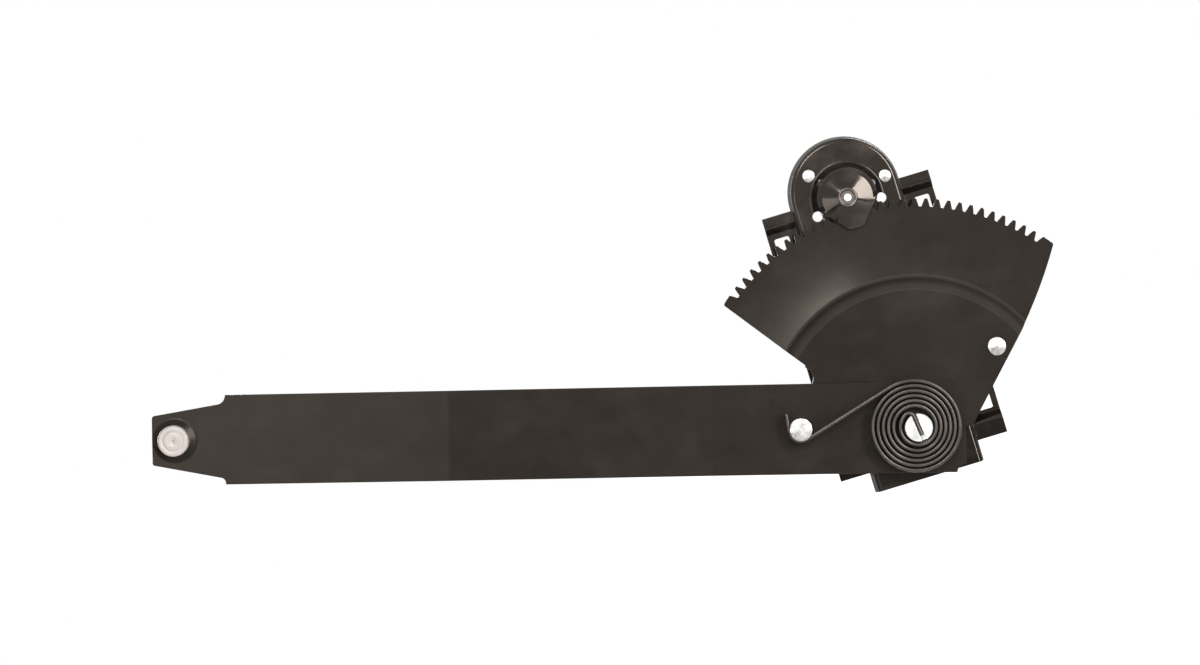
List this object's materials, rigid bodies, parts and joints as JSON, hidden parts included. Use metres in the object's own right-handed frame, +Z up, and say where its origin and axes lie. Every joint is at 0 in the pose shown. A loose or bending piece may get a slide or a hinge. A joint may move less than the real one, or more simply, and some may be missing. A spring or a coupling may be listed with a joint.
{
  "type": "window regulator",
  "caption": "Hand-cranked window regulator: a pressed plate carries a pinion in a spring brake, a toothed sector with a long bent lift arm, a spiral counterbalance spring and an end roller.",
  "frame": {"origin": "centre of the rectangle of square bolt holes, on the plane of the wings' rear faces, which lie on the door's inner panel", "axes": "+X across the plate, +Z up it from the arm's pivot to the crank, +Y along the crank spindle into the car; the lift arm is on the -Y side and points to -X"},
  "size_m": [0.5417, 0.0877, 0.2097],
  "materials": {
    "dark_paint": "thin semi-gloss black-brown dip paint on pressed steel",
    "bright_zinc": "bright zinc plating, turned",
    "dull_zinc": "dull, darkened zinc",
    "zinc_plate": "satin zinc plating",
    "spring_steel": "oil-blackened spring steel with bright edges",
    "gear_steel": "hardened steel, lightly oiled",
    "sintered_bronze": "sintered bronze bush",
    "roller_plastic": "pale warm grey moulded nylon"
  },
  "bodies": {
    "base": {"base_plate": "dark_paint", "brake_drum": "zinc_plate", "drum_rivets": "bright_zinc", "drum_bush": "sintered_bronze", "bridge_eyelet": "dull_zinc", "pivot_stud": "bright_zinc", "pivot_washer": "spring_steel", "pivot_ring": "spring_steel", "counterbalance_spring": "spring_steel"},
    "arm": {"sector_gear": "dark_paint", "lift_arm": "dark_paint", "pivot_bush": "sintered_bronze", "spring_stud": "bright_zinc", "stop_stud": "bright_zinc", "roller_stud": "bright_zinc", "roller_washer": "zinc_plate"},
    "pinion": {"pinion": "gear_steel"},
    "crank": {"crank_spindle": "bright_zinc", "driver": "gear_steel", "brake_spring": "spring_steel", "thrust_washer": "zinc_plate", "spindle_washer": "zinc_plate", "spindle_ring": "spring_steel"},
    "roller": {"roller": "roller_plastic"}
  },
  "joints": [
    {"name": "arm_pivot", "type": "hinge", "parent": "base", "child": "arm", "pos_m": [0, -0.02, -0.0636], "axis": [0, -1, 0], "range_deg": [-33, 46], "deforming": ["counterbalance_spring"]},
    {"name": "pinion_spin", "type": "hinge", "parent": "base", "child": "pinion", "pos_m": [0, -0.0155, 0.07716], "axis": [0, -1, 0], "range_deg": [-725, 522]},
    {"name": "crank_spin", "type": "hinge", "parent": "base", "child": "crank", "pos_m": [0, 0.02, 0.07716], "axis": [0, -1, 0], "range_deg": [-725, 522]},
    {"name": "roller_spin", "type": "hinge", "parent": "arm", "child": "roller", "pos_m": [-0.41736, -0.045, 0.05505], "axis": [0, -1, 0], "continuous": true}
  ],
  "couplings": [
    {"joint": "pinion_spin", "follows": "arm_pivot", "ratio": -15.625},
    {"joint": "crank_spin", "follows": "arm_pivot", "ratio": -15.625}
  ]
}
